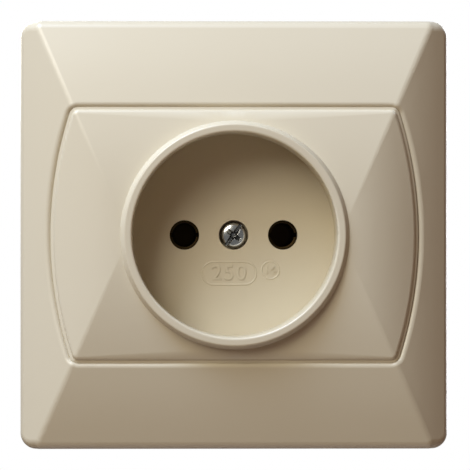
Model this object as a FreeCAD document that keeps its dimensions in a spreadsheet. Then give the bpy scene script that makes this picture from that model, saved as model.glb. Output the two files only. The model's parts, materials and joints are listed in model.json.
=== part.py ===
"""Single flush wall socket with a recessed round cup and two pin holes.

Millimetres. +X is right, +Y goes into the wall and +Z is up. The origin is the
centre of the outer frame's back face, which lies on the wall plane y = 0, so
everything with a negative y stands in front of the wall.
"""
import FreeCAD, Part
import math
import os
import Sketcher

Vec = FreeCAD.Vector
doc = FreeCAD.newDocument("wall_socket")

# Driving dimensions, one row each in the sheet: alias, value, what it measures.
DIMENSIONS = [
    ("frame_size", 82.0, "outer frame, width and height"),
    ("frame_corner", 3.0, "outer frame, corner radius seen from the front"),
    ("frame_edge_round", 2.0, "outer frame, rounding of the front edge"),
    ("crown_height", 12.9, "crest of the crowned front above the wall"),
    ("crown_edge", 5.9, "height of the crowned front at its top and bottom edges"),
    ("crest_inset", 1.0, "start of the hips, distance inside the rim's outer edge"),
    ("hip_inset", 2.8, "distance of a hip's outer end from the frame's side"),
    ("hip_round", 1.8, "rounding along each hip"),
    ("front_wall", 2.0, "moulded wall of frame and cover"),
    ("rib_wall", 1.2, "moulded stiffening ribs"),
    ("rib_ease", 0.3, "frame's ribs, gap to the mounting strap"),
    ("rib_rise", 2.5, "cover's ribs, distance of their feet from the ledge"),
    ("inside_corner", 0.5, "smallest inside corner radius of the mouldings"),
    ("side_border", 6.25, "frame left on each side of the panel's middle"),
    ("panel_margin", 3.05, "panel above and below the rim's outer edge"),
    ("panel_bow", 4.0, "cover panel, bulge of each curved side"),
    ("panel_corner", 1.4, "cover panel, corner radius"),
    ("panel_gap", 0.3, "gap between cover panel and frame"),
    ("gap_round", 0.9, "rounding of both edges beside that gap"),
    ("lip_wall", 1.6, "frame, wall that runs down round the panel opening"),
    ("ledge_width", 1.6, "frame, ledge that the cover's skirt presses on"),
    ("ledge_thickness", 1.5, "frame, thickness of that ledge"),
    ("cup_bore", 39.0, "plug recess, inside diameter"),
    ("cup_depth", 15.0, "plug recess, depth from the rim"),
    ("cup_wall", 1.8, "plug recess, wall round the bore"),
    ("floor_thickness", 2.0, "plug recess, floor"),
    ("rim_height", 14.0, "top of the rim above the wall plane"),
    ("rim_width", 1.5, "flat top of the rim"),
    ("rim_round", 0.45, "rounding of the rim's two edges"),
    ("flank_angle", 35.0, "rim's outer flank, degrees from the axis"),
    ("flank_depth", 5.0, "rim's outer flank, length along the axis"),
    ("rim_foot", 0.6, "rim's foot, reach beyond the rim's outer edge"),
    ("pin_pitch", 19.0, "distance between the two pin holes"),
    ("pin_hole", 5.7, "pin holes and the screw's sink, diameter"),
    ("boss_width", 9.0, "boss behind the floor's centre, diameter"),
    ("boss_length", 2.0, "boss behind the floor's centre, length"),
    ("head_sink", 2.2, "depth of the sink for the cover screw's head"),
    ("thread", 3.0, "cover and claw screws, thread diameter"),
    ("thread_clearance", 0.05, "radial clearance in a tapped hole"),
    ("screw_clearance", 0.2, "radial clearance where a screw passes freely"),
    ("cover_head", 5.0, "cover screw, head diameter"),
    ("cover_head_height", 2.1, "cover screw, head height"),
    ("cover_head_round", 0.9, "cover screw, rounding of the pan head"),
    ("cover_screw_length", 11.5, "cover screw, length under the head"),
    ("recess_width", 0.9, "screw recesses, width of a slot"),
    ("recess_depth", 0.9, "screw recesses, depth of a slot"),
    ("cross_span", 3.0, "cover screw, span of the crossing recess"),
    ("cross_depth", 1.35, "cover screw, depth of the crossing recess"),
    ("slot_turn", 54.0, "cover screw, angle of the slot from level, degrees"),
    ("bush_width", 6.0, "threaded bush, diameter"),
    ("bush_length", 8.0, "threaded bush, length"),
    ("bush_groove", 0.5, "threaded bush, depth of the holding groove"),
    ("frame_overhang", 5.5, "frame beyond the mounting strap's edge"),
    ("strap_corner", 10.0, "mounting strap, cut-off corners"),
    ("strap_thickness", 1.2, "mounting strap, sheet"),
    ("strap_ease", 1.2, "mounting strap, gap round the cup"),
    ("box_pitch", 60.0, "wall box screws, distance between centres"),
    ("box_slot", 4.0, "wall box screws, slot width"),
    ("box_slot_length", 7.0, "wall box screws, slot length end to end"),
    ("fixing_web", 1.94, "base, wall between its well and a locating peg"),
    ("peg_width", 3.8, "locating pegs of the base, diameter"),
    ("peg_clearance", 0.1, "locating pegs, radial clearance in the strap"),
    ("fixing_thread", 2.6, "base screws, thread diameter"),
    ("fixing_head", 5.0, "base screws, head diameter"),
    ("fixing_head_height", 1.7, "base screws, head height"),
    ("fixing_head_round", 1.0, "base screws, rounding of the head"),
    ("fixing_length", 9.0, "base screws, length under the head"),
    ("fixing_turn", 30.0, "base screws, angle of the slot from level, degrees"),
    ("base_width", 41.4, "insulating base, width"),
    ("base_height", 43.0, "insulating base, height"),
    ("base_corner", 4.0, "insulating base, corner radius"),
    ("base_depth", 24.0, "insulating base, depth behind the wall plane"),
    ("well_ease", 0.6, "insulating base, gap round the cup"),
    ("front_web", 1.4, "insulating base, web in front of the contacts"),
    ("chamber_width", 8.4, "insulating base, contact chamber diameter"),
    ("channel_height", 14.0, "claw channel in the base, height"),
    ("channel_slack", 0.35, "claw channel, clearance behind the claw's edge"),
    ("cap_thickness", 1.6, "insulating back cap, thickness"),
    ("cap_width", 29.6, "insulating back cap, width"),
    ("cap_low", 8.5, "insulating back cap, reach below the centre"),
    ("cap_high", 19.7, "insulating back cap, reach above the centre"),
    ("cap_corner", 2.0, "insulating back cap, corner radius"),
    ("cap_slack", 0.1, "insulating back cap, gap in its recess"),
    ("cap_screw_low", 5.6, "back cap's lower screw, distance below the centre"),
    ("cap_screw_high", 15.5, "back cap's upper screw, distance above the centre"),
    ("cap_thread", 2.2, "back cap screws, thread diameter"),
    ("cap_head", 4.0, "back cap screws, head diameter"),
    ("cap_head_height", 1.4, "back cap screws, head height"),
    ("cap_head_round", 0.8, "back cap screws, rounding of the head"),
    ("cap_screw_length", 6.5, "back cap screws, length under the head"),
    ("cap_slot_depth", 0.7, "back cap screws, depth of the slot"),
    ("sleeve_width", 6.2, "contact sleeve, outer diameter"),
    ("sleeve_bore", 4.7, "contact sleeve, inner diameter"),
    ("sleeve_slit", 0.8, "contact sleeve, width of the slits"),
    ("sleeve_solid", 4.0, "contact sleeve, length behind the slits"),
    ("tail_width", 5.0, "contact tail, width of the strip"),
    ("tail_thickness", 0.8, "contact tail, thickness of the strip"),
    ("ring_wall", 0.5, "spring ring round a sleeve, wire or strip thickness"),
    ("ring_length", 5.0, "spring ring round a sleeve, length"),
    ("ring_setback", 2.5, "spring ring, distance behind the sleeve's mouth"),
    ("ring_slack", 0.02, "spring ring, radial gap to the sleeve"),
    ("terminal_width", 8.0, "terminal block, width and height"),
    ("terminal_length", 8.0, "terminal block, length along the screw"),
    ("terminal_rise", 14.5, "terminal block, height of its centre"),
    ("terminal_slack", 0.15, "terminal block, gap in its chamber"),
    ("terminal_edge", 0.5, "terminal block, rounding of its long edges"),
    ("wire_hole", 3.2, "terminal block and base, wire hole diameter"),
    ("wire_setback", 3.0, "wire hole, distance in front of the block's back"),
    ("wire_stop", 1.6, "terminal block, metal left at the wire hole's end"),
    ("clamp_thread", 3.5, "terminal screw, thread diameter"),
    ("clamp_head", 5.6, "terminal screw, head diameter"),
    ("clamp_head_height", 2.2, "terminal screw, head height"),
    ("clamp_length", 3.6, "terminal screw, length under the head"),
    ("clamp_lift", 0.3, "terminal screw, head in front of its block"),
    ("clamp_turn", 20.0, "terminal screw, angle of the slot from level, degrees"),
    ("access_width", 6.6, "base, access hole for the terminal screw"),
    ("claw_web", 1.6, "strap between its opening and a claw screw's seat"),
    ("claw_seat", 4.8, "claw screw, seat hole in the strap, diameter"),
    ("ball_radius", 3.1, "claw screw, radius of the head's ball seat"),
    ("ball_slack", 0.03, "claw screw, gap at the ball seat"),
    ("ball_top", 0.4, "claw screw, height of the head above the ball's centre"),
    ("ball_room", 0.5, "claw screw, room for its head in frame and cover"),
    ("claw_inset", 2.16, "claw at rest, distance in front of the base's back"),
    ("claw_travel", 8.0, "claw, travel along its screw"),
    ("claw_lean", 12.0, "claw screw, largest lean, degrees"),
    ("claw_screw_tail", 3.4, "claw screw, reach behind the claw at rest"),
    ("claw_height", 13.0, "claw, height"),
    ("claw_inner", 9.0, "claw, reach from the screw towards the base"),
    ("claw_outer", 2.6, "claw, reach from the screw towards the box"),
    ("claw_sheet", 1.6, "claw, sheet thickness"),
    ("claw_collar", 5.4, "claw, drawn collar round the tapped hole, diameter"),
    ("claw_collar_length", 1.2, "claw, length of that collar"),
    ("claw_arm", 5.4, "claw, depth of its two toothed arms"),
]

SHEET = doc.addObject("Spreadsheet::Sheet", "dims")
for row, (alias, value, meaning) in enumerate(DIMENSIONS, start=1):
    SHEET.set("A%d" % row, str(value))
    SHEET.setAlias("A%d" % row, alias)
    SHEET.set("B%d" % row, meaning)
doc.recompute()


class Size:
    """A length worked out from the sheet: its value now, and its formula."""

    def __init__(self, value, text):
        self.value = value
        self.text = text

    @staticmethod
    def of(other):
        return other if isinstance(other, Size) else Size(float(other), repr(float(other)))

    def __add__(self, other):
        other = Size.of(other)
        return Size(self.value + other.value, "(%s + %s)" % (self.text, other.text))

    def __sub__(self, other):
        other = Size.of(other)
        return Size(self.value - other.value, "(%s - %s)" % (self.text, other.text))

    def __mul__(self, other):
        other = Size.of(other)
        return Size(self.value * other.value, "(%s * %s)" % (self.text, other.text))

    def __truediv__(self, other):
        other = Size.of(other)
        return Size(self.value / other.value, "(%s / %s)" % (self.text, other.text))

    def __neg__(self):
        return Size(-self.value, "(0 - %s)" % self.text)

    def __radd__(self, other):
        return Size.of(other) + self

    def __rsub__(self, other):
        return Size.of(other) - self

    def __rmul__(self, other):
        return Size.of(other) * self


def size(alias):
    return Size(float(SHEET.get(alias)), "dims." + alias)


def root(length):
    return Size(math.sqrt(length.value), "sqrt(%s)" % length.text)


def sine(degrees):
    return Size(math.sin(math.radians(degrees.value)), "sin(%s * 1 deg)" % degrees.text)


def cosine(degrees):
    return Size(math.cos(math.radians(degrees.value)), "cos(%s * 1 deg)" % degrees.text)


ZERO = Size.of(0)
SPARE = 1.0  # how far a cutting shape runs past what it cuts
NEAR = 0.02  # how far off a point may lie and still count as on a line

# Planes along y that several pieces share.
strap_front = -size("strap_thickness")
ledge_front = strap_front - size("ledge_thickness")
floor_front = size("cup_depth") - size("rim_height")
floor_back = floor_front + size("floor_thickness")
boss_back = floor_back + size("boss_length")
head_seat = floor_front + size("head_sink")
cap_front = size("base_depth") - size("cap_thickness")
tail_front = cap_front - size("tail_thickness")
terminal_front = tail_front - size("terminal_length")
wire_level = tail_front - size("wire_setback")
sleeve_mouth = floor_back + size("front_web")
half_pitch = size("pin_pitch") / 2

# What lies round the cup, from the inside out.
rim_edge = size("cup_bore") / 2 + size("rim_width")
cup_outside = size("cup_bore") + size("cup_wall") * 2
base_well = cup_outside + size("well_ease") * 2
strap_opening = cup_outside + size("strap_ease") * 2
strap_half = size("frame_size") / 2 - size("frame_overhang")
fixing_offset = (base_well / 2 + size("fixing_web") + size("peg_width") / 2) / root(Size.of(2))
claw_offset = strap_opening / 2 + size("claw_web") + size("claw_seat") / 2

# The claw screw's head is a ball that sits in the seat hole's front edge.
seat_depth = root(size("ball_radius") * size("ball_radius")
                  - size("claw_seat") / 2 * (size("claw_seat") / 2))
ball_level = strap_front - seat_depth
claw_level = size("base_depth") - size("claw_inset")
claw_setback = claw_level - ball_level


# Sketches and features

def origin_feature(body, role):
    return [f for f in body.Origin.OriginFeatures if f.Role == role][0]


def new_body(label, place=(ZERO, ZERO, ZERO)):
    body = doc.addObject("PartDesign::Body", label)
    body.Label = label
    for axis, where in zip("xyz", place):
        body.setExpression("Placement.Base." + axis, where.text)
    return body


def new_sketch(body, name, plane, level=ZERO):
    """A sketch on one of the body's origin planes, moved to a level on the world axis."""
    sketch = body.newObject("Sketcher::SketchObject", name)
    sketch.AttachmentSupport = [(origin_feature(body, plane + "_Plane"), "")]
    sketch.MapMode = "FlatFace"
    offset = -level if plane == "XZ" else level
    sketch.setExpression("AttachmentOffset.Base.z", offset.text)
    return sketch


def place_point(sketch, geometry, point, where):
    for kind, length in zip(("DistanceX", "DistanceY"), where):
        index = sketch.addConstraint(
            Sketcher.Constraint(kind, -1, 1, geometry, point, length.value))
        sketch.setExpression("Constraints[%d]" % index, length.text)


def draw_polygon(sketch, points):
    points = [(Size.of(a), Size.of(b)) for a, b in points]
    first = sketch.GeometryCount
    count = len(points)
    corners = [Vec(a.value, b.value, 0) for a, b in points]
    for i in range(count):
        sketch.addGeometry(Part.LineSegment(corners[i], corners[(i + 1) % count]), False)
    for i in range(count):
        sketch.addConstraint(Sketcher.Constraint(
            "Coincident", first + i, 2, first + (i + 1) % count, 1))
    for i in range(count):
        place_point(sketch, first + i, 1, points[i])


def draw_rectangle(sketch, left, low, right, high):
    draw_polygon(sketch, [(left, low), (right, low), (right, high), (left, high)])


def draw_circle(sketch, across, up, diameter):
    across, up, diameter = Size.of(across), Size.of(up), Size.of(diameter)
    circle = sketch.addGeometry(
        Part.Circle(Vec(across.value, up.value, 0), Vec(0, 0, 1), diameter.value / 2), False)
    place_point(sketch, circle, 3, (across, up))
    index = sketch.addConstraint(Sketcher.Constraint("Diameter", circle, diameter.value))
    sketch.setExpression("Constraints[%d]" % index, diameter.text)


def draw_slot(sketch, middle, width, length):
    """An upright slot with round ends on the sketch's vertical axis."""
    half, run = width / 2, (length - width) / 2
    low, high = middle - run, middle + run
    right = sketch.addGeometry(Part.LineSegment(
        Vec(half.value, low.value, 0), Vec(half.value, high.value, 0)), False)
    left = sketch.addGeometry(Part.LineSegment(
        Vec(-half.value, high.value, 0), Vec(-half.value, low.value, 0)), False)
    place_point(sketch, right, 1, (half, low))
    place_point(sketch, right, 2, (half, high))
    place_point(sketch, left, 1, (-half, high))
    place_point(sketch, left, 2, (-half, low))
    for centre, start, ends in ((high, 0, ((right, 2), (left, 1))),
                                (low, math.pi, ((left, 2), (right, 1)))):
        circle = Part.Circle(Vec(0, centre.value, 0), Vec(0, 0, 1), half.value)
        arc = sketch.addGeometry(Part.ArcOfCircle(circle, start, start + math.pi), False)
        for end, (line, point) in zip((1, 2), ends):
            sketch.addConstraint(Sketcher.Constraint("Coincident", arc, end, line, point))
        index = sketch.addConstraint(Sketcher.Constraint("DistanceY", -1, 1, arc, 3, centre.value))
        sketch.setExpression("Constraints[%d]" % index, centre.text)


def grow(body, name, draw, start, length, plane="XZ", both_ways=False):
    """Pads what draw puts on the sketch, from start towards the plus side of the world axis."""
    sketch = new_sketch(body, name + "_sketch", plane, start)
    draw(sketch)
    pad = body.newObject("PartDesign::Pad", name)
    pad.Profile = sketch
    pad.setExpression("Length", length.text)
    pad.Reversed = plane == "XZ"
    pad.Midplane = both_ways
    doc.recompute()
    return pad


def carve(body, name, draw, start, length, plane="XZ", both_ways=False):
    """Pockets what draw puts on the sketch: towards +y on XZ, towards minus on the others."""
    before = body.Shape.Volume
    sketch = new_sketch(body, name + "_sketch", plane, start)
    draw(sketch)
    pocket = body.newObject("PartDesign::Pocket", name)
    pocket.Profile = sketch
    pocket.setExpression("Length", length.text)
    pocket.Midplane = both_ways
    doc.recompute()
    assert body.Shape.Volume < before - 1e-6, "%s of %s cuts nothing" % (name, body.Label)
    return pocket


def turn(body, name, profile):
    """Turns a profile of (radius, y) points about the body's own y axis."""
    sketch = new_sketch(body, name + "_sketch", "XY")
    draw_polygon(sketch, profile)
    revolution = body.newObject("PartDesign::Revolution", name)
    revolution.Profile = sketch
    revolution.ReferenceAxis = (origin_feature(body, "Y_Axis"), [""])
    revolution.Angle = 360
    doc.recompute()
    return revolution


def soften(body, name, feature, radius, wanted):
    """Fillets the edges of the feature that wanted picks."""
    doc.recompute()
    names = ["Edge%d" % (i + 1) for i, edge in enumerate(feature.Shape.Edges) if wanted(edge)]
    assert names, "no edges to round for %s" % name
    fillet = body.newObject("PartDesign::Fillet", name)
    fillet.Base = (feature, names)
    fillet.setExpression("Radius", radius.text)
    doc.recompute()
    return fillet


def runs_along_y(edge):
    box = edge.BoundBox
    return box.YLength > 0.5 * size("strap_thickness").value and max(box.XLength, box.ZLength) < 1e-6


# The crowned front that the frame and the cover share

half_frame = size("frame_size").value / 2
crest_half = (rim_edge - size("crest_inset")).value
crown_height = size("crown_height").value
fall = (crown_height - size("crown_edge").value) / half_frame ** 2
hip_run = half_frame - size("hip_inset").value - crest_half
hip_slope = half_frame / hip_run
side_fall = fall * hip_slope ** 2
panel_half_width = half_frame - size("side_border").value
panel_half_height = (rim_edge + size("panel_margin")).value

# Planes well ahead of the rim and well behind the cup, where cutting shapes end.
ahead = -2.5 * size("rim_height").value
behind = size("cup_depth").value
ROUND_STEPS = 4  # flats that stand for a rounding on a turned outline


def parabola(start, control, end):
    curve = Part.BezierCurve()
    curve.setPoles([start, control, end])
    return curve.toShape()


def straight(start, end):
    return Part.LineSegment(start, end).toShape()


def crowned_block(drop):
    """The solid under the crowned front, lowered by drop, down to the wall plane.

    The front is two pairs of parabolic faces: one pair falls to the top and
    bottom, the other, steeper in the ratio of the hips' slope, to the sides.
    Their meeting lines, the hips, are then straight when seen from the front.
    """
    reach = half_frame + SPARE
    height = crown_height - drop
    edge = height - fall * reach ** 2
    start, end = Vec(-reach, -edge, -reach), Vec(-reach, -edge, reach)
    control = Vec(-reach, -(height + fall * reach ** 2), 0)
    back_high, back_low = Vec(-reach, 0, reach), Vec(-reach, 0, -reach)
    upright = Part.Face(Part.Wire([
        parabola(start, control, end), straight(end, back_high),
        straight(back_high, back_low), straight(back_low, start)]))
    upright = upright.extrude(Vec(2 * reach, 0, 0))

    # The side faces begin a little outside the crest, under the cup's rim.
    begin = crest_half + SPARE
    middle = (begin + reach) / 2
    begin_height = height - side_fall * (begin - crest_half) ** 2
    edge = height - side_fall * (reach - crest_half) ** 2
    middle_height = begin_height - 2 * side_fall * (begin - crest_half) * (middle - begin)
    clear = height + SPARE

    def point(x, y_height):
        return Vec(x, -y_height, -reach)

    left = [point(-reach, edge), point(-middle, middle_height), point(-begin, begin_height)]
    right = [point(begin, begin_height), point(middle, middle_height), point(reach, edge)]
    corners = [left[2], point(-begin, clear), point(begin, clear), right[0]]
    back = [right[2], point(reach, 0), point(-reach, 0), left[0]]
    level = Part.Face(Part.Wire(
        [parabola(*left)] + [straight(a, b) for a, b in zip(corners, corners[1:])]
        + [parabola(*right)] + [straight(a, b) for a, b in zip(back, back[1:])]))
    level = level.extrude(Vec(0, 0, 2 * reach))
    return upright.common(level)


def rounded_square(width, corner, front, back):
    """A square prism about the y axis with rounded edges along it."""
    block = Part.makeBox(width, back - front, width, Vec(-width / 2, front, -width / 2))
    return block.makeFillet(corner, [e for e in block.Edges if runs_along_y(e)])


def barrel(grown, front, back):
    """The panel's outline, grown outwards, as a prism: flat above and below, bowed at the sides."""
    bow = size("panel_bow").value
    radius = (panel_half_height ** 2 + bow ** 2) / (2 * bow)
    centre = panel_half_width - radius
    up = panel_half_height + grown
    side = panel_half_width + grown
    corner = centre + math.sqrt((radius + grown) ** 2 - up ** 2)
    low_left, low_right = Vec(-corner, front, -up), Vec(corner, front, -up)
    high_right, high_left = Vec(corner, front, up), Vec(-corner, front, up)
    outline = Part.Wire([
        straight(low_left, low_right),
        Part.Arc(low_right, Vec(side, front, 0), high_right).toShape(),
        straight(high_right, high_left),
        Part.Arc(high_left, Vec(-side, front, 0), low_left).toShape()])
    prism = Part.Face(outline).extrude(Vec(0, back - front, 0))
    corner_round = max(size("panel_corner").value + grown, size("inside_corner").value)
    return prism.makeFillet(corner_round, [e for e in prism.Edges if runs_along_y(e)])


def edge_points(edge):
    middle = (edge.FirstParameter + edge.LastParameter) / 2
    return [v.Point for v in edge.Vertexes] + [edge.valueAt(middle)]


def is_hip(edge):
    points = edge_points(edge)
    on_hip = all(abs(abs(p.z) - hip_slope * (abs(p.x) - crest_half)) < NEAR for p in points)
    return on_hip and abs(points[0].z - points[1].z) > SPARE


def is_front_rim(edge):
    """The frame's front edge, round its outside."""
    corner = size("frame_corner").value
    straight_half = half_frame - corner
    for p in edge_points(edge):
        reach = math.hypot(max(abs(p.x) - straight_half, 0), max(abs(p.z) - straight_half, 0))
        if p.y > -SPARE or abs(reach - corner) > NEAR:
            return False
    return True


def is_panel_edge(edge):
    """The front edges beside the gap between frame and cover."""
    return all(abs(p.x) < panel_half_width + SPARE and abs(p.z) < panel_half_height + SPARE
               and p.y < ledge_front.value - SPARE for p in edge_points(edge))


def only_solid(shape):
    assert len(shape.Solids) == 1, "expected one solid, found %d" % len(shape.Solids)
    return shape.Solids[0]


def add_shape(label, shape):
    piece = doc.addObject("Part::Feature", label)
    piece.Label = label
    piece.Shape = shape
    return piece


def front_ribs(places, foot, inside):
    """Thin upright walls under the crown, each (x0, z0, x1, z1), trimmed to the space inside."""
    ribs = [Part.makeBox(x1 - x0, foot - ahead, z1 - z0, Vec(x0, ahead, z0))
            for x0, z0, x1, z1 in places]
    return [rib.common(inside) for rib in ribs]


def make_way_for_claw_screws(moulding):
    """Cuts the room that the claw screws' heads need wherever the moulding would touch them."""
    room = (size("ball_radius") + size("ball_room")).value
    front = (ball_level - size("ball_top") - size("ball_room")).value
    for side in (-1, 1):
        start = Vec(claw_offset.value * side, front, 0)
        moulding = moulding.cut(Part.makeCylinder(room, behind - front, start, Vec(0, 1, 0)))
    return moulding


def rounded_corner(before, corner, after, radius):
    """Points of short flats in place of a corner between two straight stretches of an outline."""
    back, on = (before - corner).normalize(), (after - corner).normalize()
    half = back.getAngle(on) / 2
    centre = corner + (back + on).normalize() * (radius / math.sin(half))
    first = corner + back * (radius / math.tan(half)) - centre
    last = corner + on * (radius / math.tan(half)) - centre
    sweep = first.getAngle(last)
    points = []
    for step in range(ROUND_STEPS + 1):
        share = step / ROUND_STEPS
        points.append(centre + (first * math.sin((1 - share) * sweep)
                                + last * math.sin(share * sweep)) / math.sin(sweep))
    return points


def turned_solid(points):
    return Part.Face(Part.makePolygon(points + points[:1])).revolve(Vec(), Vec(0, 1, 0), 360)


def make_outer_frame():
    gap = size("panel_gap").value / 2
    wall = size("front_wall").value
    lip = size("lip_wall").value
    corner = size("frame_corner").value
    seat = strap_front.value
    ledge = ledge_front.value

    front = crowned_block(0.0).common(rounded_square(2 * half_frame, corner, ahead, 0.0))
    front = only_solid(front.cut(barrel(gap, ahead, behind)))
    front = only_solid(front.makeFillet(size("hip_round").value,
                                        [e for e in front.Edges if is_hip(e)]))
    front = only_solid(front.makeFillet(size("frame_edge_round").value,
                                        [e for e in front.Edges if is_front_rim(e)]))
    front = only_solid(front.makeFillet(size("gap_round").value,
                                        [e for e in front.Edges if is_panel_edge(e)]))

    inner_width = 2 * (half_frame - wall)
    inside = crowned_block(wall).common(
        rounded_square(inner_width, max(corner - wall, size("inside_corner").value), ahead, 0.0))
    hollow = inside.cut(barrel(gap + lip, ahead, behind))
    frame = front.cut(hollow).cut(barrel(gap + lip, seat, behind))
    frame = frame.fuse(barrel(gap + wall / 4, ledge, seat).cut(
        barrel(gap - size("ledge_width").value, ahead, behind)))

    rib = size("rib_wall").value
    outer = half_frame - wall / 2
    places = []
    for x in (-panel_half_width / 2, panel_half_width / 2):
        for low, high in ((-outer, -panel_half_height), (panel_half_height, outer)):
            places.append((x - rib / 2, low, x + rib / 2, high))
    for z in (-panel_half_height / 2, panel_half_height / 2):
        for low, high in ((-outer, -panel_half_width), (panel_half_width, outer)):
            places.append((low, z - rib / 2, high, z + rib / 2))
    under = crowned_block(wall / 2).common(
        rounded_square(2 * outer, corner, ahead, 0.0)).cut(barrel(gap + lip / 2, ahead, behind))
    for web in front_ribs(places, seat - size("rib_ease").value, under):
        frame = frame.fuse(web)
    frame = make_way_for_claw_screws(frame)
    return add_shape("outer_frame", only_solid(frame.removeSplitter()))


def make_cover_plate():
    gap = size("panel_gap").value / 2
    wall = size("front_wall").value
    lip = size("lip_wall").value
    ledge = ledge_front.value
    cup_radius = size("cup_bore").value / 2
    tube_radius = cup_outside.value / 2
    rim = -size("rim_height").value
    rim_radius = rim_edge.value
    rim_round = size("rim_round").value
    flank = size("flank_depth").value
    flank_radius = rim_radius + flank * math.tan(math.radians(size("flank_angle").value))

    # The rim's foot covers the crest, where the four crowned faces meet.
    core_radius = rim_radius + size("rim_foot").value
    core = Part.makeCylinder(core_radius, behind - ahead, Vec(0, ahead, 0), Vec(0, 1, 0))
    front = only_solid(crowned_block(0.0).common(barrel(-gap, ahead, ledge)).cut(core))
    front = only_solid(front.makeFillet(size("hip_round").value,
                                        [e for e in front.Edges if is_hip(e)]))
    front = only_solid(front.makeFillet(
        size("gap_round").value, [e for e in front.Edges if is_panel_edge(e)
                                  and all(math.hypot(p.x, p.z) > core_radius + NEAR
                                          for p in edge_points(e))]))
    hollow = crowned_block(wall).common(barrel(-gap - lip, ahead, behind))
    skin = front.cut(hollow)

    top, corner, foot = Vec(0, rim, 0), Vec(rim_radius, rim, 0), Vec(flank_radius, rim + flank, 0)
    cup = turned_solid([top] + rounded_corner(top, corner, foot, rim_round) + [
        foot, Vec(tube_radius, rim + flank, 0), Vec(tube_radius, floor_back.value, 0),
        Vec(0, floor_back.value, 0)])
    cup = cup.common(barrel(-gap - lip / 4, ahead, behind))
    cover = skin.fuse(cup)
    boss_front = floor_back.value - size("floor_thickness").value / 2
    boss = Part.makeCylinder(size("boss_width").value / 2, boss_back.value - boss_front,
                             Vec(0, boss_front, 0), Vec(0, 1, 0))
    cover = cover.fuse(boss)

    rib = size("rib_wall").value
    rise = cup_radius / 2
    reach = panel_half_width - lip / 2 - gap
    places = []
    for z in (-rise, rise):
        start = math.sqrt((cup_radius + tube_radius) ** 2 / 4 - (abs(z) + rib / 2) ** 2)
        places.append((start, z - rib / 2, reach, z + rib / 2))
        places.append((-reach, z - rib / 2, -start, z + rib / 2))
    under = crowned_block(wall / 2).common(barrel(-gap - lip / 2, ahead, behind))
    for web in front_ribs(places, ledge - size("rib_rise").value, under):
        cover = cover.fuse(web)

    mouth, edge = Vec(rim_radius, rim, 0), Vec(cup_radius, rim, 0)
    deep = Vec(cup_radius, floor_front.value, 0)
    bore = turned_solid([Vec(0, rim - SPARE, 0), Vec(rim_radius, rim - SPARE, 0)]
                        + [mouth] + rounded_corner(mouth, edge, deep, rim_round)
                        + [deep, Vec(0, floor_front.value, 0)])
    cover = cover.cut(bore)
    hole_radius = size("pin_hole").value / 2
    for x in (-half_pitch.value, half_pitch.value):
        cover = cover.cut(Part.makeCylinder(hole_radius, behind, Vec(x, 0, 0), Vec(0, 1, 0)))
    cover = cover.cut(Part.makeCylinder(hole_radius, size("head_sink").value,
                                        Vec(0, floor_front.value, 0), Vec(0, 1, 0)))
    free_radius = size("thread").value / 2 + size("screw_clearance").value
    cover = cover.cut(Part.makeCylinder(free_radius, behind, Vec(0, 0, 0), Vec(0, 1, 0)))
    cover = make_way_for_claw_screws(cover)
    return add_shape("cover_plate", only_solid(cover.removeSplitter()))


# Screws

def slot_across(body, name, top, width, depth, span, angle=ZERO):
    """A straight driver slot across the head, turned about the screw's axis."""
    def draw(sketch):
        along = (cosine(angle) * span / 2, sine(angle) * span / 2)
        aside = (-(sine(angle) * width / 2), cosine(angle) * width / 2)
        draw_polygon(sketch, [
            (along[0] + aside[0], along[1] + aside[1]), (-along[0] + aside[0], -along[1] + aside[1]),
            (-along[0] - aside[0], -along[1] - aside[1]), (along[0] - aside[0], along[1] - aside[1])])
    carve(body, name, draw, top, depth)


def pan_outline(head, height, rounding):
    """The rounded edge of a pan head as short flats: (radius, height over its underside)."""
    points = []
    for degrees in (0, 30, 60, 90):
        points.append((head / 2 - rounding + rounding * sine(Size.of(degrees)),
                       height - rounding + rounding * cosine(Size.of(degrees))))
    return points


def make_screw(label, place, thread, head, head_height, head_round, length, slot_angle=ZERO):
    """A pan-headed screw: its head's underside is at the body's origin, its shank towards +y."""
    body = new_body(label, place)
    tip = thread / 6
    rounding = [(radius, -height) for radius, height in pan_outline(head, head_height, head_round)]
    turn(body, "blank", [(0, -head_height)] + rounding + [
        (head / 2, 0), (thread / 2, 0),
        (thread / 2, length - tip), (thread / 2 - tip, length), (0, length)])
    slot_across(body, "slot", -head_height, size("recess_width"), size("recess_depth"),
                head + SPARE, slot_angle)
    return body


def make_cover_screw():
    body = make_screw("cover_screw", (ZERO, head_seat, ZERO), size("thread"), size("cover_head"),
                      size("cover_head_height"), size("cover_head_round"),
                      size("cover_screw_length"), size("slot_turn"))
    slot_across(body, "cross", -size("cover_head_height"), size("recess_width"),
                size("cross_depth"), size("cross_span"), size("slot_turn") + 90)
    return body


def make_strap_screw(label, side):
    place = (fixing_offset * side, strap_front, fixing_offset * side)
    return make_screw(label, place, size("fixing_thread"), size("fixing_head"),
                      size("fixing_head_height"), size("fixing_head_round"),
                      size("fixing_length"), size("fixing_turn") * side)


def make_cap_screw(label, height):
    """Like the other screws, but turned round: its head faces the back."""
    thread, head = size("cap_thread"), size("cap_head")
    head_height, length = size("cap_head_height"), size("cap_screw_length")
    body = new_body(label, (ZERO, size("base_depth"), height))
    tip = thread / 6
    turn(body, "blank", [
        (0, -length), (thread / 2 - tip, -length), (thread / 2, -length + tip), (thread / 2, 0),
        (head / 2, 0)] + pan_outline(head, head_height, size("cap_head_round"))[::-1]
        + [(0, head_height)])
    depth = size("cap_slot_depth")

    def draw(sketch):
        draw_rectangle(sketch, -head, -(size("recess_width") / 2), head, size("recess_width") / 2)
    carve(body, "slot", draw, head_height - depth, depth + SPARE)
    return body


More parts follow.
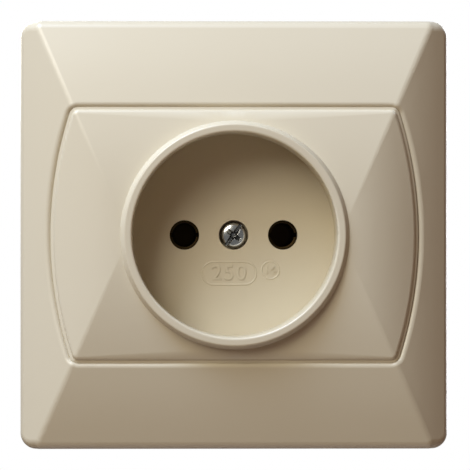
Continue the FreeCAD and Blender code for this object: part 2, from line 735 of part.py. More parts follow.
def make_terminal_screw(label, side):
    head = size("clamp_head")
    place = (half_pitch * side, terminal_front - size("clamp_lift"), size("terminal_rise"))
    body = new_body(label, place)
    turn(body, "blank", [
        (0, -size("clamp_head_height")), (head / 2, -size("clamp_head_height")), (head / 2, 0),
        (size("clamp_thread") / 2, 0), (size("clamp_thread") / 2, size("clamp_length")),
        (0, size("clamp_length"))])
    slot_across(body, "slot", -size("clamp_head_height"), size("recess_width"),
                size("recess_depth"), head + SPARE, size("clamp_turn") * side)
    return body


# Metal parts

def make_bush():
    """Brass bush that the cover screw's thread runs in, held in the base by its groove."""
    body = new_body("threaded_bush", (ZERO, boss_back + size("screw_clearance"), ZERO))
    outer, inner = size("bush_width") / 2, size("thread") / 2 + size("thread_clearance")
    length, groove = size("bush_length"), size("bush_groove")
    turn(body, "blank", [
        (inner, 0), (outer, 0), (outer, length / 3), (outer - groove, length / 3),
        (outer - groove, length * 2 / 3), (outer, length * 2 / 3), (outer, length), (inner, length)])
    return body


def make_strap():
    """Galvanised steel plate: cup opening, box screw slots, claw seats and base fixings."""
    body = new_body("mounting_strap")
    half, cut = strap_half, size("strap_corner")

    def outline(sketch):
        draw_polygon(sketch, [
            (-half + cut, -half), (half - cut, -half), (half, -half + cut), (half, half - cut),
            (half - cut, half), (-half + cut, half), (-half, half - cut), (-half, -half + cut)])
    plate = grow(body, "plate", outline, strap_front, size("strap_thickness"))
    soften(body, "corners", plate, cut / 4, runs_along_y)

    def holes(sketch):
        draw_circle(sketch, 0, 0, strap_opening)
        fixing = fixing_offset
        free = size("fixing_thread") + size("screw_clearance") * 2
        peg = size("peg_width") + size("peg_clearance") * 2
        for side in (-1, 1):
            draw_circle(sketch, claw_offset * side, 0, size("claw_seat"))
            draw_circle(sketch, fixing * side, fixing * side, free)
            draw_circle(sketch, fixing * side, fixing * -side, peg)
    carve(body, "holes", holes, strap_front, size("strap_thickness"))

    for side, name in ((-1, "lower"), (1, "upper")):
        middle = size("box_pitch") / 2 * side

        def slot(sketch):
            draw_slot(sketch, middle, size("box_slot"), size("box_slot_length"))
        carve(body, name + "_slot", slot, strap_front, size("strap_thickness"))
    return body


def make_contact(label, side):
    """Brass sleeve for a round pin, slit into two springy halves, with a tail to the terminal."""
    body = new_body(label, (half_pitch * side, sleeve_mouth, ZERO))
    outer, inner = size("sleeve_width") / 2, size("sleeve_bore") / 2
    length = tail_front - sleeve_mouth
    turn(body, "sleeve", [(inner, 0), (outer, 0), (outer, length), (inner, length)])

    def tail(sketch):
        half = size("tail_width") / 2
        draw_rectangle(sketch, -half, -outer, half,
                       size("terminal_rise") + size("terminal_width") / 2)
    grow(body, "tail", tail, length, size("tail_thickness"))

    def slits(sketch):
        draw_rectangle(sketch, -outer - SPARE, -(size("sleeve_slit") / 2),
                       outer + SPARE, size("sleeve_slit") / 2)
    carve(body, "slits", slits, ZERO, length - size("sleeve_solid"))
    return body


def make_spring_ring(label, side):
    """Open spring ring that presses the two halves of a sleeve onto the pin."""
    body = new_body(label, (half_pitch * side, sleeve_mouth + size("ring_setback"), ZERO))
    inner = size("sleeve_width") / 2 + size("ring_slack")
    outer = inner + size("ring_wall")
    turn(body, "ring", [(inner, 0), (outer, 0), (outer, size("ring_length")),
                        (inner, size("ring_length"))])

    def opening(sketch):
        draw_rectangle(sketch, -(size("sleeve_slit") / 2), 0, size("sleeve_slit") / 2, outer + SPARE)
    carve(body, "opening", opening, ZERO, size("ring_length"))
    return body


def make_terminal(label, side):
    """Brass block: the wire enters from above, and the screw comes from the front."""
    body = new_body(label, (half_pitch * side, terminal_front, size("terminal_rise")))
    half = size("terminal_width") / 2

    def outline(sketch):
        draw_rectangle(sketch, -half, -half, half, half)
    block = grow(body, "block", outline, ZERO, size("terminal_length"))
    soften(body, "edges", block, size("terminal_edge"), runs_along_y)

    def screw_hole(sketch):
        draw_circle(sketch, 0, 0, size("clamp_thread") + size("thread_clearance") * 2)
    wire_depth = size("terminal_length") - size("wire_setback")
    carve(body, "screw_hole", screw_hole, ZERO, wire_depth)

    def wire_hole(sketch):
        draw_circle(sketch, 0, wire_depth, size("wire_hole"))
    carve(body, "wire_hole", wire_hole, half, size("terminal_width") - size("wire_stop"), plane="XY")
    return body


# Insulating mouldings

def make_base():
    """Black moulded base: well for the cup, contact and terminal chambers, claw channels."""
    body = new_body("socket_base")
    half_width, half_height = size("base_width") / 2, size("base_height") / 2
    depth = size("base_depth")

    def outline(sketch):
        draw_rectangle(sketch, -half_width, -half_height, half_width, half_height)
    block = grow(body, "block", outline, ZERO, depth)
    soften(body, "corners", block, size("base_corner"), runs_along_y)

    fixing = fixing_offset

    def pegs(sketch):
        for side in (-1, 1):
            draw_circle(sketch, fixing * side, fixing * -side, size("peg_width"))
    grow(body, "pegs", pegs, strap_front, size("strap_thickness") + SPARE)

    def well(sketch):
        draw_circle(sketch, 0, 0, base_well)
    carve(body, "well", well, ZERO, floor_back)

    def fixing_holes(sketch):
        for side in (-1, 1):
            draw_circle(sketch, fixing * side, fixing * side,
                        size("fixing_thread") + size("thread_clearance") * 2)
    carve(body, "fixing_holes", fixing_holes, ZERO, size("fixing_length"))

    def boss_recess(sketch):
        draw_circle(sketch, 0, 0, size("boss_width") + size("screw_clearance") * 3)
    bush_front = boss_back + size("screw_clearance")
    carve(body, "boss_recess", boss_recess, floor_back, bush_front - floor_back)

    def bush_bore(sketch):
        draw_circle(sketch, 0, 0, size("bush_width"))
    carve(body, "bush_bore", bush_bore, bush_front, size("bush_length"))

    def screw_run(sketch):
        draw_circle(sketch, 0, 0, size("thread") + size("screw_clearance") * 2)
    screw_tip = head_seat + size("cover_screw_length")
    carve(body, "screw_run", screw_run, bush_front,
          screw_tip - bush_front + size("screw_clearance") * 5)

    terminal_half = size("terminal_width") / 2 + size("terminal_slack")
    rise = size("terminal_rise")

    def pin_windows(sketch):
        for side in (-1, 1):
            draw_circle(sketch, half_pitch * side, 0, size("pin_hole") + size("screw_clearance"))
    carve(body, "pin_windows", pin_windows, floor_back, size("front_web"))

    def contact_chambers(sketch):
        for side in (-1, 1):
            draw_circle(sketch, half_pitch * side, 0, size("chamber_width"))
    carve(body, "contact_chambers", contact_chambers, sleeve_mouth, depth - sleeve_mouth)

    for side, word in ((-1, "left"), (1, "right")):
        def terminal_chamber(sketch):
            draw_rectangle(sketch, half_pitch * side - terminal_half, rise - terminal_half,
                           half_pitch * side + terminal_half, rise + terminal_half)
        carve(body, word + "_terminal_chamber", terminal_chamber, terminal_front,
              depth - terminal_front)

        def tail_slot(sketch):
            half = size("tail_width") / 2 + size("terminal_slack")
            draw_rectangle(sketch, half_pitch * side - half, 0, half_pitch * side + half, rise)
        carve(body, word + "_tail_slot", tail_slot, tail_front, depth - tail_front)

        def access(sketch):
            draw_circle(sketch, half_pitch * side, rise, size("access_width"))
        carve(body, word + "_access", access, floor_back, terminal_front - floor_back)

        def wire_entry(sketch):
            draw_circle(sketch, half_pitch * side, wire_level, size("wire_hole"))
        carve(body, word + "_wire_entry", wire_entry, half_height, half_height - rise, plane="XY")

        inner_rest = (claw_offset - size("claw_inner") - size("channel_slack")) * side
        edge = half_width * side
        beyond = edge + SPARE * side
        lean, travel = size("claw_lean"), size("claw_travel")
        drawn = claw_setback - travel
        ramp_end = ball_level + drawn * cosine(lean) + size("claw_inner") * sine(lean)

        def channel(sketch):
            draw_polygon(sketch, [
                (edge, ramp_end - size("claw_sheet")), (beyond, ramp_end - size("claw_sheet")),
                (beyond, depth + SPARE), (inner_rest, depth + SPARE),
                (inner_rest, claw_level - size("claw_sheet"))])
        carve(body, word + "_channel", channel, ZERO, size("channel_height"), plane="XY",
              both_ways=True)

    def cap_recess(sketch):
        half = size("cap_width") / 2 + size("cap_slack")
        draw_rectangle(sketch, -half, -size("cap_low") - size("cap_slack"),
                       half, size("cap_high") + size("cap_slack"))
    carve(body, "cap_recess", cap_recess, cap_front, size("cap_thickness"))

    def cap_screw_holes(sketch):
        for height in (-size("cap_screw_low"), size("cap_screw_high")):
            draw_circle(sketch, 0, height, size("cap_thread") + size("thread_clearance") * 2)
    run = size("cap_screw_length")
    carve(body, "cap_screw_holes", cap_screw_holes, depth - run, run)
    return body


def make_back_cap():
    """Insulating plate that closes the contact and terminal chambers from behind."""
    body = new_body("back_cap")
    half = size("cap_width") / 2

    def outline(sketch):
        draw_rectangle(sketch, -half, -size("cap_low"), half, size("cap_high"))
    plate = grow(body, "plate", outline, cap_front, size("cap_thickness"))
    soften(body, "corners", plate, size("cap_corner"), runs_along_y)

    def holes(sketch):
        for height in (-size("cap_screw_low"), size("cap_screw_high")):
            draw_circle(sketch, 0, height, size("cap_thread") + size("screw_clearance") * 2)
    carve(body, "holes", holes, cap_front, size("cap_thickness"))
    return body


# Claws

def bound(feature, **formulas):
    for name, length in formulas.items():
        feature.setExpression(name, Size.of(length).text)
    return feature


def along_y(feature, x, y, z):
    """Stands a primitive's axis along +y with its base at a point."""
    feature.Placement = FreeCAD.Placement(Vec(), FreeCAD.Rotation(Vec(1, 0, 0), -90))
    for axis, where in zip("xyz", (x, y, z)):
        feature.setExpression("Placement.Base." + axis, Size.of(where).text)
    return feature


def make_claw_screw(label, side):
    """Claw screw: a ball-seated slotted head that lets it lean, and a long plain shank."""
    x = claw_offset * side
    ball = along_y(bound(doc.addObject("Part::Sphere", label + "_ball"),
                         Radius=size("ball_radius") - size("ball_slack")), x, ball_level, 0)
    top = ball_level - size("ball_top")
    spare = size("ball_radius") * 2
    trim = bound(doc.addObject("Part::Box", label + "_trim"),
                 Length=spare, Width=spare, Height=spare)
    for axis, where in zip("xyz", (x - spare / 2, top - spare, -(spare / 2))):
        trim.setExpression("Placement.Base." + axis, where.text)
    head = doc.addObject("Part::Cut", label + "_head")
    head.Base, head.Tool = ball, trim
    length = claw_setback + size("claw_screw_tail")
    shank = along_y(bound(doc.addObject("Part::Cylinder", label + "_shank"),
                          Radius=size("thread") / 2, Height=length), x, ball_level, 0)
    blank = doc.addObject("Part::Fuse", label + "_blank")
    blank.Base, blank.Tool = head, shank
    slot = bound(doc.addObject("Part::Box", label + "_slot"), Length=size("recess_width"),
                 Width=size("recess_depth") + SPARE, Height=spare)
    for axis, where in zip("xyz", (x - size("recess_width") / 2, top - SPARE, -(spare / 2))):
        slot.setExpression("Placement.Base." + axis, where.text)
    screw = doc.addObject("Part::Cut", label)
    screw.Label = label
    screw.Base, screw.Tool = blank, slot
    return screw


def make_claw(label, side):
    """Sheet steel claw: plate with a tapped collar, and two arms toothed on the box side."""
    body = new_body(label, (claw_offset * side, claw_level, ZERO))
    half_height, sheet = size("claw_height") / 2, size("claw_sheet")
    inner, outer, arm = size("claw_inner"), size("claw_outer"), size("claw_arm")

    def plate(sketch):
        draw_rectangle(sketch, -inner * side, -half_height, outer * side, half_height)
    grow(body, "plate", plate, -(sheet / 2), sheet)

    def collar(sketch):
        draw_circle(sketch, 0, 0, size("claw_collar"))
    grow(body, "collar", collar, ZERO, sheet / 2 + size("claw_collar_length"))

    tooth = arm / 5
    for place, word in ((-half_height, "lower"), (half_height - sheet, "upper")):
        def toothed_arm(sketch):
            draw_polygon(sketch, [
                (-inner * side * 0.6, -(sheet / 2)), (-inner * side * 0.3, -arm),
                (outer * side * 0.5, -arm), ((outer + tooth) * side, -arm + tooth),
                ((outer - tooth) * side, -arm + tooth * 1.7), ((outer + tooth) * side, -arm + tooth * 2.7),
                ((outer - tooth) * side, -arm + tooth * 3.4), (outer * side, -(sheet / 2)),
                (outer * side, ZERO), (-inner * side * 0.6, ZERO)])
        grow(body, word + "_arm", toothed_arm, place, sheet, plane="XY")

    def tapped(sketch):
        draw_circle(sketch, 0, 0, size("thread") + size("thread_clearance") * 2)
    carve(body, "tapped_hole", tapped, -sheet, sheet * 2 + size("claw_collar_length"))
    return body


PIECES = [make_outer_frame(), make_cover_plate(), make_cover_screw(), make_bush(), make_strap(),
          make_base(), make_back_cap(),
          make_strap_screw("strap_screw_upper", 1), make_strap_screw("strap_screw_lower", -1),
          make_cap_screw("cap_screw_upper", size("cap_screw_high")),
          make_cap_screw("cap_screw_lower", -size("cap_screw_low"))]
for hand, direction in (("left", -1), ("right", 1)):
    PIECES += [make_contact("contact_" + hand, direction),
               make_spring_ring("spring_ring_" + hand, direction),
               make_terminal("terminal_" + hand, direction),
               make_terminal_screw("terminal_screw_" + hand, direction),
               make_claw_screw("claw_screw_" + hand, direction),
               make_claw("claw_" + hand, direction)]

doc.recompute()
for thing in doc.Objects:
    assert not {"Invalid", "Error"} & set(thing.State), "%s failed: %s" % (thing.Label, thing.State)
os.makedirs("parts", exist_ok=True)
for piece in PIECES:
    shape = piece.Shape
    assert not shape.isNull() and shape.isValid(), piece.Label + " is not a valid shape"
    assert len(shape.Solids) == 1, "%s has %d solids" % (piece.Label, len(shape.Solids))
    shape.exportStep(os.path.join("parts", piece.Label + ".step"))
    print("%-20s %9.1f mm3" % (piece.Label, shape.Volume))
print(len(PIECES), "pieces")
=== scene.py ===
# %% [markdown]
# # A flush wall socket in cream plastic
# The real thing is a square frame and a bowed cover panel, moulded in cream plastic and clipped
# over an insert that sits in the wall. The measured solids come in finished, so the lesson is about
# what the eye adds to them: how moulded plastic, plated steel and brass answer a soft light, and
# the few small forms that are too fine for the solids, such as screw threads and raised numbers.

import json
import math

import bmesh
import bpy
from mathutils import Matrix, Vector


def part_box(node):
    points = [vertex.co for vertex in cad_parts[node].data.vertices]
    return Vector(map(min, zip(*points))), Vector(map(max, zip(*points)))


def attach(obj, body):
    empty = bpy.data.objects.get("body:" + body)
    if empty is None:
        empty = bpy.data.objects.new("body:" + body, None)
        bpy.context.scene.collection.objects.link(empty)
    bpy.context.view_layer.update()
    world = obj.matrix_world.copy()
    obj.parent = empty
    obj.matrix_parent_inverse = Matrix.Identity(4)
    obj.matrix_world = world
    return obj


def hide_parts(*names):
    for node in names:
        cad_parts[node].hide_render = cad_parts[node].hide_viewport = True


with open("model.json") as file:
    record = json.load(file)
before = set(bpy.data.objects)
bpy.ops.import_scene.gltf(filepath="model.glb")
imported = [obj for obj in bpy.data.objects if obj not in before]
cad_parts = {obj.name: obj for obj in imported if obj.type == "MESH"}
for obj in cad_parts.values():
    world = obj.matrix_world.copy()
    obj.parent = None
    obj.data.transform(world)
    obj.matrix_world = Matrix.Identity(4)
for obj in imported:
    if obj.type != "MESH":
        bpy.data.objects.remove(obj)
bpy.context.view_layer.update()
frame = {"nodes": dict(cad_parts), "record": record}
MM = 0.001
print("solids:", sorted(frame["nodes"]))

# %% [markdown]
# A camera far away sees the socket almost as a drawing, and that is how it was photographed: from
# about 72 cm, a hair to the left of its middle. A long lens keeps the near rim from swelling over
# the frame. The view could be framed by eye. It is set by real distances instead, the camera's own
# and the width that it sees, so it can be checked against the object.

# %% Set the camera
VIEW_DISTANCE = 720 * MM
VIEW_SIDE = -13 * MM
VIEW_WIDTH = 90.7 * MM
AIM = Vector((0.25 * MM, 0, 0))
SENSOR_WIDTH = 36
NEAREST = 50 * MM
FARTHEST = 20.0

camera = bpy.data.objects.new("camera", bpy.data.cameras.new("camera"))
bpy.context.scene.collection.objects.link(camera)
bpy.context.scene.camera = camera
camera.location = (VIEW_SIDE, -VIEW_DISTANCE, 0)
camera.rotation_euler = (AIM - camera.location).to_track_quat("-Z", "Y").to_euler()
camera.data.sensor_width = SENSOR_WIDTH
camera.data.lens = SENSOR_WIDTH * VIEW_DISTANCE / VIEW_WIDTH
camera.data.clip_start = NEAREST
camera.data.clip_end = FARTHEST
print("lens in mm:", round(camera.data.lens, 1))

# %% [markdown]
# The backdrop is plain white. A white card behind the socket would do, but it would catch shadows
# and hide the back. A world shader answers several questions at once: what the camera sees behind
# the object, and what light comes from all round. A Light Path node keeps them apart, so the
# backdrop is pure white while the surroundings give only a weak fill. In the photograph the shadows
# are warmer than the lights, so the fill is warm, as from a room with wood and lamps in it. The
# bright screw mirrors a neutral grey room instead, so a third answer goes to glossy rays.

# %% Set the white surroundings
FILL_STRENGTH = 0.135
FILL_COLOUR = (1.0, 0.52, 0.27, 1)
ROOM_STRENGTH = 0.16
ROOM_COLOUR = (0.95, 0.98, 1.0, 1)
WHITE = (1, 1, 1, 1)


def add_node(tree, kind, settings=None, **links):
    """Adds a node, gives its sockets and properties their values, and links its inputs.

    A link is named after the input, with _ for a space, or _ and the input's number."""
    node = tree.nodes.new(kind)
    for name, value in (settings or {}).items():
        if name in node.inputs:
            node.inputs[name].default_value = value
        else:
            setattr(node, name, value)
    for name, source in links.items():
        by_number = name[1:].isdigit()
        socket = node.inputs[int(name[1:]) if by_number else name.replace("_", " ")]
        tree.links.new(source, socket)
    return node


world = bpy.data.worlds.new("white_surroundings")
bpy.context.scene.world = world
world.use_nodes = True
tree = world.node_tree
tree.nodes.clear()
ray = add_node(tree, "ShaderNodeLightPath")
fill = add_node(tree, "ShaderNodeBackground", {"Color": FILL_COLOUR, "Strength": FILL_STRENGTH})
backdrop = add_node(tree, "ShaderNodeBackground", {"Color": WHITE, "Strength": 1.0})
room = add_node(tree, "ShaderNodeBackground", {"Color": ROOM_COLOUR, "Strength": ROOM_STRENGTH})
mirrored = add_node(tree, "ShaderNodeMixShader", _0=ray.outputs["Is Glossy Ray"],
                    _1=fill.outputs[0], _2=room.outputs[0])
choose = add_node(tree, "ShaderNodeMixShader", _0=ray.outputs["Is Camera Ray"],
                  _1=mirrored.outputs[0], _2=backdrop.outputs[0])
add_node(tree, "ShaderNodeOutputWorld", Surface=choose.outputs[0])
bpy.context.scene.view_settings.view_transform = "Standard"
bpy.context.scene.view_settings.look = "None"
print("fill strength:", FILL_STRENGTH, "and the mirrored room's:", ROOM_STRENGTH)

# %% [markdown]
# The upper and left faces of the crowned front are bright, the lower and right ones fall dark, and
# half the cup lies in a shadow with a wide edge. Two soft lamps on the left do this: cool daylight
# from high up, and a weaker warm one lower down that opens the shadow in the cup. A picture of a
# studio all round could light it too, but lamps can be moved one by one. Where they stand and what
# each gives was found by rendering them singly and seeing which sum comes closest to some fifty
# places in the photograph. Two more light the back, for whoever walks round.

# %% Hang the lamps
LAMP_DISTANCE = 0.70


def hang_lamp(name, aside, up, width, power, colour):
    """A square lamp that looks at the socket from angles aside and up, in degrees."""
    lamp = bpy.data.objects.new(name, bpy.data.lights.new(name, "AREA"))
    bpy.context.scene.collection.objects.link(lamp)
    aside, up = math.radians(aside), math.radians(up)
    towards = Vector((math.sin(aside) * math.cos(up), -math.cos(aside) * math.cos(up),
                      math.sin(up)))
    lamp.location = towards * LAMP_DISTANCE
    lamp.rotation_euler = (-towards).to_track_quat("-Z", "Y").to_euler()
    lamp.data.shape = "SQUARE"
    lamp.data.size = width
    lamp.data.energy = power
    lamp.data.color = colour


# Each lamp's angles aside and up, its width in metres, its watts and its colour.
LAMPS = {
    "daylight_high_left": (-48, 58, 0.35, 6.7, (0.617, 0.758, 1.0)),
    "warm_lamp_left": (-30, 30, 0.35, 2.85, (1.0, 0.952, 0.81)),
    "back_left": (-155, 20, 0.40, 5.0, (1.0, 0.97, 0.93)),
    "back_right": (150, 10, 0.40, 3.0, (0.93, 0.97, 1.0)),
}
for name, setting in LAMPS.items():
    hang_lamp(name, *setting)
    print(name, setting)

# %% [markdown]
# Nothing stands on the floor here, because the socket hangs on a wall. A pale floor well below it
# still gives the other views something to stand over. It lies deep, because a near one would throw
# light on the lower faces, which are dark in the photograph. Its colour is written as a painter
# reads it, and turned to the linear light that shaders work in.

# %% Lay the floor
FLOOR_DROP = 800 * MM
FLOOR_HALF = 500 * MM


def srgb(code):
    """A hex colour as linear light: the two pieces of the sRGB curve, turned round."""
    channels = [int(code[i:i + 2], 16) / 255 for i in (1, 3, 5)]
    linear = [c / 12.92 if c <= 0.04045 else ((c + 0.055) / 1.055) ** 2.4 for c in channels]
    return (*linear, 1)


def new_material(name):
    """A material without nodes, and its node tree."""
    material = bpy.data.materials.new(name)
    material.use_nodes = True
    tree = material.node_tree
    tree.nodes.clear()
    return material, tree


paper, tree = new_material("white_paper")
matt = add_node(tree, "ShaderNodeBsdfPrincipled", {"Base Color": srgb("#F4F3F0"), "Roughness": 0.9})
add_node(tree, "ShaderNodeOutputMaterial", Surface=matt.outputs[0])
floor_mesh = bpy.data.meshes.new("pale_floor")
corners = [(-FLOOR_HALF, -FLOOR_HALF), (FLOOR_HALF, -FLOOR_HALF),
           (FLOOR_HALF, FLOOR_HALF), (-FLOOR_HALF, FLOOR_HALF)]
floor_mesh.from_pydata([(x, y, -FLOOR_DROP) for x, y in corners], [], [(0, 1, 2, 3)])
floor_mesh.materials.append(paper)
floor = bpy.data.objects.new("pale_floor", floor_mesh)
bpy.context.scene.collection.objects.link(floor)
print("floor lies", FLOOR_DROP / MM, "mm below the socket's middle")

# %% [markdown]
# Frame and cover are ABS, injection moulded in a polished tool and tinted cream. Three things give
# moulded plastic away: a soft reflection over a body colour, a skin that is very slightly uneven,
# as if it were orange peel, and corners that are never quite sharp. The skin could be modelled, but
# it is hundredths of a millimetre high and never shows in an outline, so a Bump node does it. Two
# noise patterns of real size make the tint and the skin, and a Bevel node rounds the small corners
# for the light alone.

# %% Mix the cream plastic
def per_metre(period_mm):
    """The scale that makes a pattern repeat about once in a real distance."""
    return 1 / (period_mm * MM)


def blend(tree, first, second, share):
    """A colour between two, by a share. Sockets 6, 7 and 2 are the Mix node's colour ones."""
    mix = add_node(tree, "ShaderNodeMix", {"data_type": "RGBA"}, Factor=share)
    mix.inputs[6].default_value = first
    mix.inputs[7].default_value = second
    return mix.outputs[2]


def moulded_cream_abs():
    """Glossy cream plastic with a slightly uneven skin."""
    material, tree = new_material("moulded_cream_abs")
    place = add_node(tree, "ShaderNodeTexCoord").outputs["Object"]
    drift = add_node(tree, "ShaderNodeTexNoise", {"Scale": per_metre(35), "Detail": 2},
                     Vector=place)
    tint = blend(tree, srgb("#D0C6AE"), srgb("#D3CAB4"), drift.outputs["Fac"])
    peel = add_node(tree, "ShaderNodeTexNoise", {"Scale": per_metre(1.2), "Detail": 2},
                    Vector=place)
    corner = add_node(tree, "ShaderNodeBevel", {"Radius": 0.15 * MM, "samples": 4})
    skin = add_node(tree, "ShaderNodeBump", {"Strength": 0.12, "Distance": 0.02 * MM},
                    Height=peel.outputs["Fac"], Normal=corner.outputs["Normal"])
    plastic = add_node(tree, "ShaderNodeBsdfPrincipled",
                       {"Roughness": 0.34, "IOR": 1.53, "Specular IOR Level": 0.5},
                       Base_Color=tint, Normal=skin.outputs["Normal"])
    add_node(tree, "ShaderNodeOutputMaterial", Surface=plastic.outputs[0])
    return material


cream = moulded_cream_abs()
print("made", cream.name)

# %% [markdown]
# The cover screw is nickel plated, the screws behind are zinc plated, and the springs are blank
# steel. All are metals with no body colour: the tint of the surface and the roughness of what lies
# under it make the difference. The stamped brass of the contacts is bare; here it gets a near-black
# brown, which is painted shade for the depth that makes the pin holes look almost black. Slots and
# corners get painted shade as well: an Ambient Occlusion node finds every corner and darkens it.

# %% Plate the steel, and darken the brass as painted shade
PAINTED_SHADE_REACH = 0.9 * MM
PAINTED_SHADE_TONE = 0.33


def grained_metal(name, tint, roughness, grain_mm, grain_depth):
    """A metal with a tint, a roughness, a grain of a real size, and painted shade in its corners.
    """
    material, tree = new_material(name)
    place = add_node(tree, "ShaderNodeTexCoord").outputs["Object"]
    grain = add_node(tree, "ShaderNodeTexNoise", {"Scale": per_metre(grain_mm), "Detail": 4},
                     Vector=place)
    corner = add_node(tree, "ShaderNodeBevel", {"Radius": 0.12 * MM, "samples": 6})
    skin = add_node(tree, "ShaderNodeBump", {"Strength": grain_depth, "Distance": 0.01 * MM},
                    Height=grain.outputs["Fac"], Normal=corner.outputs["Normal"])
    spread = add_node(tree, "ShaderNodeMapRange",
                      {"To Min": roughness * 0.8, "To Max": roughness * 1.2},
                      Value=grain.outputs["Fac"])
    # Painted shade: an Ambient Occlusion node darkens the metal's colour in slots and corners.
    shade_probe = add_node(tree, "ShaderNodeAmbientOcclusion", {"Distance": PAINTED_SHADE_REACH, "samples": 8})
    unshaded_share = add_node(tree, "ShaderNodeMapRange", {"From Min": 0.45, "From Max": 0.85},
                         Value=shade_probe.outputs["AO"])
    painted_shade_tint = tuple(c * PAINTED_SHADE_TONE for c in srgb(tint)[:3]) + (1,)
    colour_with_painted_shade = blend(tree, painted_shade_tint, srgb(tint), unshaded_share.outputs["Result"])
    metal = add_node(tree, "ShaderNodeBsdfPrincipled", {"Metallic": 1.0}, Base_Color=colour_with_painted_shade,
                     Roughness=spread.outputs["Result"], Normal=skin.outputs["Normal"])
    add_node(tree, "ShaderNodeOutputMaterial", Surface=metal.outputs[0])
    return material


nickel_plate = grained_metal("nickel_plated_steel", "#D6D5D3", 0.20, 0.9, 0.5)
zinc_plate = grained_metal("zinc_plated_steel", "#C3C6C8", 0.30, 0.4, 0.3)
spring_steel = grained_metal("blank_spring_steel", "#9C9A97", 0.35, 0.3, 0.3)
# Painted shade: the brass is a near-black brown that stands in for the depth of the pin holes.
brass_in_painted_shade = grained_metal("brass_painted_near_black", "#54432A", 0.45, 0.5, 0.3)
print("made", nickel_plate.name, zinc_plate.name, spring_steel.name, brass_in_painted_shade.name)

# %% [markdown]
# Strap and claws are hot-dip galvanised sheet, which shows spangle: flat zinc crystals a few
# millimetres wide, each at its own slight tilt, so each reflects a little differently. Noise would
# give clouds without edges. A Voronoi pattern has just such cells, and each cell's own colour sets
# its tint and its roughness.

# %% Galvanise the sheet
def galvanised_sheet():
    """Zinc in flat crystals, each with a tint and a roughness of its own."""
    material, tree = new_material("galvanised_sheet")
    place = add_node(tree, "ShaderNodeTexCoord").outputs["Object"]
    spangle = add_node(tree, "ShaderNodeTexVoronoi", {"Scale": per_metre(3.5)}, Vector=place)
    value = add_node(tree, "ShaderNodeSeparateColor", _0=spangle.outputs["Color"])
    tint = blend(tree, srgb("#A9AEB1"), srgb("#C4C8CA"), value.outputs[0])
    spread = add_node(tree, "ShaderNodeMapRange", {"To Min": 0.30, "To Max": 0.50},
                      Value=value.outputs[1])
    corner = add_node(tree, "ShaderNodeBevel", {"Radius": 0.12 * MM, "samples": 4})
    metal = add_node(tree, "ShaderNodeBsdfPrincipled", {"Metallic": 1.0}, Base_Color=tint,
                     Roughness=spread.outputs["Result"], Normal=corner.outputs["Normal"])
    add_node(tree, "ShaderNodeOutputMaterial", Surface=metal.outputs[0])
    return material


zinc_sheet = galvanised_sheet()
print("made", zinc_sheet.name)

# %% [markdown]
# The base and its cap are a filled thermoset, pressed hot in a steel tool. It is black, hard and
# half matt, with a faint speckle of filler. One plain black would look like a hole in the picture,
# so fine noise goes between two near blacks and roughens the skin a little as well.

# %% Press the black base
def pressed_black_thermoset():
    """Half matt black resin with a speckle of filler."""
    material, tree = new_material("pressed_black_thermoset")
    place = add_node(tree, "ShaderNodeTexCoord").outputs["Object"]
    filler = add_node(tree, "ShaderNodeTexNoise", {"Scale": per_metre(0.5), "Detail": 3},
                      Vector=place)
    tint = blend(tree, srgb("#1B1A19"), srgb("#2A2927"), filler.outputs["Fac"])
    corner = add_node(tree, "ShaderNodeBevel", {"Radius": 0.2 * MM, "samples": 4})
    skin = add_node(tree, "ShaderNodeBump", {"Strength": 0.2, "Distance": 0.02 * MM},
                    Height=filler.outputs["Fac"], Normal=corner.outputs["Normal"])
    resin = add_node(tree, "ShaderNodeBsdfPrincipled", {"Roughness": 0.45, "IOR": 1.6},
                     Base_Color=tint, Normal=skin.outputs["Normal"])
    add_node(tree, "ShaderNodeOutputMaterial", Surface=resin.outputs[0])
    return material


black = pressed_black_thermoset()
print("made", black.name)

# %% [markdown]
# Each solid could be given its material by name, but 23 names are easy to get wrong. The record
# says which of its material slots each solid takes, so the finishes are handed out by slot and no
# solid is missed.

# %% Give every solid its finish
FINISH = {
    "cream_moulding": cream, "black_moulding": black, "bright_screw": nickel_plate,
    "zinc_screws": zinc_plate, "galvanised_sheet": zinc_sheet, "spring_steel": spring_steel,
    "brass_parts": brass_in_painted_shade,
}
for part in frame["record"]["subparts"]:
    solid = frame["nodes"][part["node"]]
    solid.data.materials.clear()
    solid.data.materials.append(FINISH[part["material_slot"]])

# %% [markdown]
# From here on come the pieces that the solids leave out or show only roughly. They could be made
# with the commands behind Blender's menus, but those depend on what is selected. Each is built as a
# bmesh instead, which is Blender's editable mesh, and one helper turns it into an object. It shades
# gentle bends smooth and leaves an edge sharp where the surface turns by more than an angle.

# %% Turn a mesh into a piece
SHARP_TURN = math.radians(38)


def new_piece(name, mesh, place=(0, 0, 0)):
    """Turns a bmesh into an object at a place, and uses the bmesh up."""
    bmesh.ops.recalc_face_normals(mesh, faces=mesh.faces)
    data = bpy.data.meshes.new(name)
    mesh.to_mesh(data)
    mesh.free()
    piece = bpy.data.objects.new(name, data)
    piece.location = place
    bpy.context.scene.collection.objects.link(piece)
    data.shade_smooth()
    data.set_sharp_from_angle(angle=SHARP_TURN)
    return piece


print("edges stay sharp above", round(math.degrees(SHARP_TURN)), "degrees")

# %% [markdown]
# Two forms of the cover are finer than its solid has them. The rim's outer flank is steep, and the
# solid's runs out farther over the panel. And the line between cover and frame is a shallow soft
# groove, since the cover's edge has a step that closes it. Both follow the crown. Its height could
# be felt out on the mesh with rays, but it is shorter and exact to work it out with the solid's own
# sizes: parabolas that fall to the four sides and meet at the hips.

